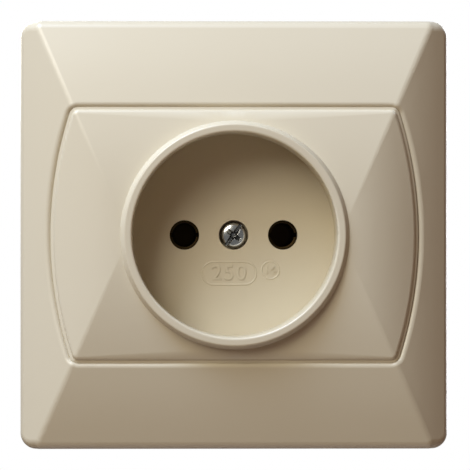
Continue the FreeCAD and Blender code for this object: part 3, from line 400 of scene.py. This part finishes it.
# %% Measure the crown
CROWN_TOP = 12.9 * MM
CROWN_EDGE = 5.9 * MM
HALF_FRAME = 41 * MM
CREST_HALF = 20.0 * MM
HIP_INSET = 2.8 * MM
fall = (CROWN_TOP - CROWN_EDGE) / HALF_FRAME ** 2
side_fall = fall * (HALF_FRAME / (HALF_FRAME - HIP_INSET - CREST_HALF)) ** 2


def crown(x, z):
    """How far the crowned front stands before the wall, at a place seen from the front."""
    beyond = max(abs(x) - CREST_HALF, 0)
    return CROWN_TOP - max(fall * z * z, side_fall * beyond * beyond)


print("crown's middle, edge above and edge at the side in mm:",
      [round(crown(x, z) / MM, 2) for x, z in ((0, 0), (0, HALF_FRAME), (HALF_FRAME, 0))])

# %% [markdown]
# The solid's flank is a cone that starts at the rim's top and widens until it meets the crown.
# The steeper one starts at the same place and keeps its foot inside a smaller radius. A new ring
# laid over the old flank couldn't do that, since the old one reaches farther out. So each point of
# the cone moves in by its share of the way down, and the mesh keeps all its faces.

# %% Work out the steeper flank
FLANK_TOP = (21.13 * MM, -13.81 * MM)
FLANK_FOOT = 21.75 * MM
FLANK_WIDEST = 24.6 * MM
FLANK_TURN = math.tan(math.radians(35))
SETTLING_ROUNDS = 40


def foot_level(aside, up, radius):
    """How far behind the flank's top the crown lies, in a direction and at a radius."""
    return -FLANK_TOP[1] - crown(aside * radius, up * radius)


def flank_foot(aside, up):
    """The radius at which the solid's flank meets the crown, in a direction of length one."""
    radius = FLANK_TOP[0]
    for _ in range(SETTLING_ROUNDS):
        radius = FLANK_TOP[0] + foot_level(aside, up, radius) * FLANK_TURN
    return radius


def steeper(point):
    """Where a point of the flank goes, and the flank's new slope there: (backwards, outwards)."""
    radius = math.hypot(point.x, point.z)
    aside, up = point.x / radius, point.z / radius
    foot = flank_foot(aside, up)
    new_foot = min(foot, FLANK_FOOT)
    share = min(max(radius - FLANK_TOP[0], 0) / (foot - FLANK_TOP[0]), 1)
    new_radius = FLANK_TOP[0] + (new_foot - FLANK_TOP[0]) * share
    drop = foot_level(aside, up, new_foot)
    slope = Vector((drop, new_foot - FLANK_TOP[0])).normalized()
    return Vector((aside * new_radius, FLANK_TOP[1] + drop * share, up * new_radius)), slope


for name, aside, up in (("side", 1, 0), ("top", 0, 1)):
    print("flank's foot at the", name, "in mm:", round(flank_foot(aside, up) / MM, 2), "and now",
          round(min(flank_foot(aside, up), FLANK_FOOT) / MM, 2))

# %% [markdown]
# Work goes on in a copy of the cover's measured mesh, which then stands for the solid. The flank's
# faces could be picked by their numbers, but those change when the solid is made again. Here they
# are the faces whose points all lie on the cone. Where a mesh of this kind turns sharply it has
# several points at one place, so points are matched by place, and all that share one move together.

# %% Find the flank in the cover's mesh
ON_FLANK = 0.03 * MM
UNDER_TOP = 0.02 * MM
SAME_PLACE = 0.005 * MM


def on_flank(point):
    """Whether a point lies on the solid's cone."""
    radius = math.hypot(point.x, point.z)
    level = FLANK_TOP[1] + (radius - FLANK_TOP[0]) / FLANK_TURN
    return FLANK_TOP[0] - UNDER_TOP < radius < FLANK_WIDEST and abs(point.y - level) < ON_FLANK


def spot(point):
    """A name for a place, the same for all the points that the mesh has there."""
    return tuple(round(c / SAME_PLACE) for c in point)


moulding = bpy.data.objects.new("cover_moulding", frame["nodes"]["cover_plate"].data.copy())
bpy.context.scene.collection.objects.link(moulding)
data = moulding.data
flank_faces = [face for face in data.polygons
               if all(on_flank(data.vertices[i].co) for i in face.vertices)]
flank_points = {i for face in flank_faces for i in face.vertices}
slopes = {i: steeper(data.vertices[i].co) for i in flank_points}
goes_to = {spot(data.vertices[i].co): place for i, (place, slope) in slopes.items()}
moving = [vertex for vertex in data.vertices if spot(vertex.co) in goes_to]
print("flank:", len(flank_faces), "faces, and", len(moving), "points to move")

# %% [markdown]
# The mesh also stores which way each corner of a face looks, which is finer than its flat faces
# tell, and it would go on shading the old slope. Letting Blender work these directions out again
# would spoil the smooth shading everywhere else. So only some are written anew: those of the flank,
# and those of the crown where it now meets the flank.

# %% Steepen the rim's flank
PAST_TOP = 0.1 * MM
CROWN_STEP = 0.05 * MM


def crown_normal(point):
    """Which way the crown faces at a place, from how its height changes nearby."""
    aside = crown(point.x + CROWN_STEP, point.z) - crown(point.x - CROWN_STEP, point.z)
    up = crown(point.x, point.z + CROWN_STEP) - crown(point.x, point.z - CROWN_STEP)
    return Vector((-aside, -2 * CROWN_STEP, -up)).normalized()


normals = [Vector(corner.vector) for corner in data.corner_normals]
flank_loops = {loop for face in flank_faces for loop in face.loop_indices}
for loop in flank_loops:
    place, slope = slopes[data.loops[loop].vertex_index]
    out = Vector((place.x, 0, place.z)).normalized()
    normals[loop] = (out * slope[0] - Vector((0, 1, 0)) * slope[1]).normalized()
for vertex in moving:
    vertex.co = goes_to[spot(vertex.co)]
moved = {vertex.index for vertex in moving}
for loop in data.loops:
    place = data.vertices[loop.vertex_index].co
    outside = math.hypot(place.x, place.z) > FLANK_TOP[0] + PAST_TOP
    if loop.vertex_index in moved and loop.index not in flank_loops and outside:
        normals[loop.index] = crown_normal(place)
data.normals_split_custom_set(normals)
data.materials.clear()
data.materials.append(cream)
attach(moulding, "insert")
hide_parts("cover_plate")
print("wrote", len(flank_loops), "directions on the flank, of", len(normals))

# %% [markdown]
# The step in the groove is one closed strip along the panel's outline, which is straight above and
# below and bowed at the sides. A dark line in the material would stay the same from every side, and
# a real step takes light and shade. A quarter of the outline is worked out and mirrored twice, and
# each point is set a little below the crown. The strip's edges lie inside the two mouldings, so
# only its face shows.

# %% Close the groove
PANEL_HALF = (34.75 * MM, 24.05 * MM)
PANEL_BOW = 4.0 * MM
PANEL_CORNER = 1.4 * MM
STEP_DEPTH = 0.45 * MM
STEP_HALF = 0.35 * MM
STEP_THICKNESS = 0.6 * MM
SIDE_STEPS = 24
CORNER_STEPS = 8
EDGE_STEPS = 24


def panel_outline(grown):
    """Points round the panel's outline, grown outwards: (x, z) from the right, and upwards."""
    bow_radius = (PANEL_HALF[1] ** 2 + PANEL_BOW ** 2) / (2 * PANEL_BOW)
    centre = PANEL_HALF[0] - bow_radius
    bow = bow_radius + grown
    turn = PANEL_CORNER + grown
    up = PANEL_HALF[1] + grown
    corner_up = up - turn
    corner_x = centre + math.sqrt((bow - turn) ** 2 - corner_up ** 2)
    lean = math.atan2(corner_up, corner_x - centre)
    quarter = []
    for i in range(SIDE_STEPS + 1):
        angle = lean * i / SIDE_STEPS
        quarter.append((centre + bow * math.cos(angle), bow * math.sin(angle)))
    for i in range(1, CORNER_STEPS + 1):
        angle = lean + (math.pi / 2 - lean) * i / CORNER_STEPS
        quarter.append((corner_x + turn * math.cos(angle), corner_up + turn * math.sin(angle)))
    for i in range(1, EDGE_STEPS + 1):
        quarter.append((corner_x * (1 - i / EDGE_STEPS), up))
    half = quarter + [(-x, z) for x, z in quarter[-2::-1]]
    return half + [(x, -z) for x, z in half[-2:0:-1]]


mesh = bmesh.new()
inner, outer = panel_outline(-STEP_HALF), panel_outline(STEP_HALF)
rings = []
for outline, extra in ((inner, STEP_THICKNESS), (inner, 0), (outer, 0), (outer, STEP_THICKNESS)):
    rings.append([mesh.verts.new((x, STEP_DEPTH + extra - crown(x, z), z)) for x, z in outline])
for low, high in zip(rings, rings[1:] + rings[:1]):
    for i in range(len(low)):
        j = (i + 1) % len(low)
        mesh.faces.new((low[i], low[j], high[j], high[i]))
step = new_piece("cover_step", mesh)
step.data.materials.append(cream)
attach(step, "insert")
print("step in the groove:", len(step.data.polygons), "faces")

# %% [markdown]
# The cover screw is the one bright thing in the picture. Its head is cold formed: a low dome on a
# short straight edge. It could start from Blender's cylinder, but it is easier to turn an outline
# round the screw's axis, as a lathe would. The dome follows a superellipse, a curve between a
# circle and a box, in many narrow rings, because a mirror shows every flat.

# %% Turn the cover screw's head
HEAD_RADIUS = 2.5 * MM
HEAD_HEIGHT = 2.1 * MM
HEAD_STEPS = 72
DOME_HEIGHT = 1.0 * MM
DOME_POWER = 2.5
DOME_RINGS = 24
screw_low, screw_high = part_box("cover_screw")
head_face = screw_low[1]
head_foot = head_face + HEAD_HEIGHT


def add_lathe(mesh, profile, steps):
    """A turned solid about the Y axis: profile is a list of (radius, y) from axis to axis."""
    rings = []
    for radius, along in profile:
        if radius == 0:
            rings.append([mesh.verts.new((0, along, 0))] * steps)
            continue
        angles = [2 * math.pi * i / steps for i in range(steps)]
        rings.append([mesh.verts.new((radius * math.cos(a), along, radius * math.sin(a)))
                      for a in angles])
    for low, high in zip(rings, rings[1:]):
        for i in range(steps):
            corners = [low[i], low[(i + 1) % steps], high[(i + 1) % steps], high[i]]
            mesh.faces.new(sorted(set(corners), key=corners.index))


profile = [(0, head_face)]
for ring in range(1, DOME_RINGS + 1):
    out = math.sin(math.pi / 2 * ring / DOME_RINGS)
    sunk = 1 - (1 - out ** DOME_POWER) ** (1 / DOME_POWER)
    profile.append((HEAD_RADIUS * out, head_face + DOME_HEIGHT * sunk))
profile += [(HEAD_RADIUS, head_foot), (0, head_foot)]
mesh = bmesh.new()
add_lathe(mesh, profile, HEAD_STEPS)
head = new_piece("cover_screw_head", mesh)
print("turned head:", len(head.data.polygons), "faces")

# %% [markdown]
# A punch strikes a straight slot for a flat blade into the head, and a shorter tapered cross for a
# crosshead driver. The recesses could be drawn into the outline only if they were round. They are
# taken out with tapered bars by a Boolean modifier, and their leaning walls catch the light and the
# dark in turn. The modifier is then made final, so the piece that is kept is a plain mesh.

# %% Strike the slot and the cross
CUT_ABOVE = 0.2 * MM
SLOT_TURN = math.radians(54)
SLOT = {"top": (6.0 * MM, 1.0 * MM), "bottom": (5.6 * MM, 0.30 * MM), "depth": 1.1 * MM}
CROSS = {"top": (3.3 * MM, 0.9 * MM), "bottom": (0.8 * MM, 0.35 * MM), "depth": 1.5 * MM}


def tapered_bar(name, place, turn, top, bottom, depth):
    """A cutter from just before a head's face to its foot: top and bottom are (length, width)."""
    mesh = bmesh.new()
    widening = [(a - b) / 2 / depth * CUT_ABOVE for a, b in zip(top, bottom)]
    above = (top[0] / 2 + widening[0], top[1] / 2 + widening[1])
    below = (bottom[0] / 2, bottom[1] / 2)
    rings = []
    for along, (x, z) in ((-CUT_ABOVE, above), (depth, below)):
        rings.append([mesh.verts.new(corner) for corner in (
            (-x, along, -z), (x, along, -z), (x, along, z), (-x, along, z))])
    for i in range(4):
        mesh.faces.new((rings[0][i], rings[0][(i + 1) % 4], rings[1][(i + 1) % 4], rings[1][i]))
    mesh.faces.new(rings[0])
    mesh.faces.new(rings[1])
    cutter = new_piece(name, mesh, place)
    cutter.rotation_euler = (0, -turn, 0)
    return cutter


def cut_away(piece, cutters):
    """Takes each cutter out of a piece for good, and removes the cutter."""
    for cutter in cutters:
        cut = piece.modifiers.new(cutter.name, "BOOLEAN")
        cut.operation, cut.solver, cut.object = "DIFFERENCE", "EXACT", cutter
    bpy.context.view_layer.update()
    shown = piece.evaluated_get(bpy.context.evaluated_depsgraph_get())
    data = bpy.data.meshes.new_from_object(shown)
    piece.modifiers.clear()
    piece.data = data
    data.set_sharp_from_angle(angle=SHARP_TURN)
    for cutter in cutters:
        bpy.data.objects.remove(cutter)


face = (0, head_face, 0)
cut_away(head, [tapered_bar("slot", face, SLOT_TURN, **SLOT),
                tapered_bar("cross_one", face, SLOT_TURN + math.pi / 2, **CROSS),
                tapered_bar("cross_two", face, SLOT_TURN, **CROSS)])
print("head with its recesses:", len(head.data.polygons), "faces")

# %% [markdown]
# A real screw has a thread, and the solids have none: they stop at a plain cylinder, which is all
# that a fit needs. A thread could be a bump in the material, but its outline would stay straight.
# Here it is mesh. Each row of points climbs by one pitch in a turn, so the crest runs along the
# mesh's own edges and stays sharp with few of them. At both ends the thread runs out to its root.

# %% Cut the screw's thread
SHANK_RADIUS = 1.5 * MM
THREAD_DEPTH = 0.27 * MM
THREAD_PITCH = 0.5 * MM
THREAD_STEPS = 28
THREAD_ROWS = 4
WELD = 0.0005 * MM


def add_thread(mesh, start, stop):
    """A threaded shank along +Y, from start to stop."""
    rings = []
    count = math.ceil((stop - start) / THREAD_PITCH + 1) * THREAD_ROWS
    for row in range(-THREAD_ROWS, count + 1):
        ring = []
        wave = abs((row / THREAD_ROWS) % 1 - 0.5) * 2
        for step in range(THREAD_STEPS):
            along = start + (row / THREAD_ROWS + step / THREAD_STEPS) * THREAD_PITCH
            along = min(max(along, start), stop)
            run_in = min(along - start, stop - along)
            reach = min(SHANK_RADIUS - THREAD_DEPTH * wave, SHANK_RADIUS - THREAD_DEPTH + run_in)
            angle = 2 * math.pi * step / THREAD_STEPS
            ring.append(mesh.verts.new((reach * math.cos(angle), along, reach * math.sin(angle))))
        rings.append(ring)
    for row in range(len(rings) - 1):
        for step in range(THREAD_STEPS - 1):
            mesh.faces.new((rings[row][step], rings[row][step + 1],
                            rings[row + 1][step + 1], rings[row + 1][step]))
        if row + THREAD_ROWS + 1 < len(rings):
            mesh.faces.new((rings[row][-1], rings[row + THREAD_ROWS][0],
                            rings[row + THREAD_ROWS + 1][0], rings[row + 1][-1]))
    mesh.faces.new(rings[0])
    mesh.faces.new(rings[-1])
    bmesh.ops.remove_doubles(mesh, verts=mesh.verts, dist=WELD)


mesh = bmesh.new()
add_thread(mesh, head_foot, screw_high[1])
shank = new_piece("cover_screw_shank", mesh)
for piece in (head, shank):
    piece.data.materials.append(nickel_plate)
    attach(piece, "insert")
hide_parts("cover_screw")
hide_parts("cover_screw")
print("thread of", 2 * SHANK_RADIUS / MM, "mm with a pitch of", THREAD_PITCH / MM, "mm:",
      len(shank.data.polygons), "faces")

# %% [markdown]
# The two claw screws are the longest thing that shows from behind. Each has a ball under its head,
# so that it can lean while its claw is drawn forward, and its thread is what the claw climbs. The
# ball is turned about its own middle, from the flat face with the slot to the neck.

# %% Make the claw screws
BALL_RADIUS = 3.07 * MM
BALL_TOP = 0.4 * MM
BALL_EASE = 0.15 * MM
BALL_NECK = 1.3 * MM
BALL_RINGS = 12
BALL_STEPS = 48
SHANK_START = 1.0 * MM
CLAW_SLOT = {"top": (7 * MM, 0.9 * MM), "bottom": (7 * MM, 0.9 * MM), "depth": 0.9 * MM}
face_radius = math.sqrt(BALL_RADIUS ** 2 - BALL_TOP ** 2)
first = math.asin(-BALL_TOP / BALL_RADIUS)
last = math.acos(BALL_NECK / BALL_RADIUS)
ball_profile = [(0, -BALL_TOP), (face_radius - BALL_EASE, -BALL_TOP)]
for ring in range(BALL_RINGS + 1):
    angle = first + (last - first) * ring / BALL_RINGS
    ball_profile.append((BALL_RADIUS * math.cos(angle), BALL_RADIUS * math.sin(angle)))
ball_profile.append((0, BALL_RADIUS * math.sin(last)))

for hand in ("left", "right"):
    low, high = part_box("claw_screw_" + hand)
    middle = (low[0] + high[0]) / 2
    ball_level = low[1] + BALL_TOP
    mesh = bmesh.new()
    add_lathe(mesh, ball_profile, BALL_STEPS)
    ball = new_piece("claw_screw_head_" + hand, mesh, (middle, ball_level, 0))
    face = (middle, ball_level - BALL_TOP, 0)
    cut_away(ball, [tapered_bar("slot", face, math.pi / 2, **CLAW_SLOT)])
    mesh = bmesh.new()
    add_thread(mesh, SHANK_START, high[1] - ball_level)
    shank = new_piece("claw_screw_shank_" + hand, mesh, (middle, ball_level, 0))
    for piece in (ball, shank):
        piece.data.materials.append(zinc_plate)
        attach(piece, hand + "_screw")
        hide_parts("claw_screw_" + hand)
    print("claw screw", hand, "reaches from", round(low[1] / MM, 2), "to",
          round(high[1] / MM, 2), "mm")

# %% [markdown]
# The mould leaves raised figures on the cup's floor, in a long and a round frame, a tenth of a
# millimetre high. They are plain numbers here. Curves and text suit them: a curve with a small
# bevel is a raised line, and text takes the same thickness.

# %% Raise the figures on the floor
FLOOR_LEVEL = 1.0 * MM
LINE_RADIUS = 0.26 * MM
LINE_RISE = 0.12 * MM
FIGURE_RISE = 0.12 * MM
FIGURE_SWELL = 0.05 * MM
FIGURE_SPACING = 1.15
LONG_FRAME = (-0.9 * MM, -7.4 * MM)
LONG_HALF = 3.05 * MM
LONG_END = 2.2 * MM
LONG_FIGURES = 4.1 * MM
ROUND_FRAME = (7.1 * MM, -6.8 * MM)
ROUND_RADIUS = 1.7 * MM
ROUND_FIGURES = 2.2 * MM


def raised_line(name, points):
    """A closed raised line through places on the cup's floor."""
    data = bpy.data.curves.new(name, "CURVE")
    data.dimensions = "3D"
    spline = data.splines.new("POLY")
    spline.points.add(len(points) - 1)
    for point, (x, z) in zip(spline.points, points):
        point.co = (x, FLOOR_LEVEL + LINE_RADIUS - LINE_RISE, z, 1)
    spline.use_cyclic_u = True
    data.bevel_depth = LINE_RADIUS
    data.bevel_resolution = 3
    piece = bpy.data.objects.new(name, data)
    bpy.context.scene.collection.objects.link(piece)
    return piece


def raised_figures(name, body, height, place):
    """Raised figures of a height, with their middle at a place on the cup's floor."""
    data = bpy.data.curves.new(name, "FONT")
    data.body = body
    data.size = height
    data.align_x, data.align_y = "CENTER", "CENTER"
    data.extrude = FIGURE_RISE
    data.offset = FIGURE_SWELL
    data.space_character = FIGURE_SPACING
    piece = bpy.data.objects.new(name, data)
    piece.location = (place[0], FLOOR_LEVEL, place[1])
    piece.rotation_euler = (math.pi / 2, 0, 0)
    bpy.context.scene.collection.objects.link(piece)
    return piece


def arc(centre, radius, start, stop, steps=16):
    """Points along an arc between two angles in degrees."""
    angles = [math.radians(start + (stop - start) * i / steps) for i in range(steps + 1)]
    return [(centre[0] + radius * math.cos(a), centre[1] + radius * math.sin(a)) for a in angles]


right_end = (LONG_FRAME[0] + LONG_HALF, LONG_FRAME[1])
left_end = (LONG_FRAME[0] - LONG_HALF, LONG_FRAME[1])
stadium = arc(right_end, LONG_END, -90, 90) + arc(left_end, LONG_END, 90, 270)
# A ring's last point stops short of its first, since the line closes by itself.
ring = arc(ROUND_FRAME, ROUND_RADIUS, 0, 345, 24)
marks = [raised_line("mark_long_frame", stadium),
         raised_line("mark_round_frame", ring),
         raised_figures("mark_long_figures", "250", LONG_FIGURES, LONG_FRAME),
         raised_figures("mark_round_figures", "16", ROUND_FIGURES, ROUND_FRAME)]
for mark in marks:
    mark.data.materials.append(cream)
    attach(mark, "insert")
print("raised marks:", [mark.name for mark in marks])
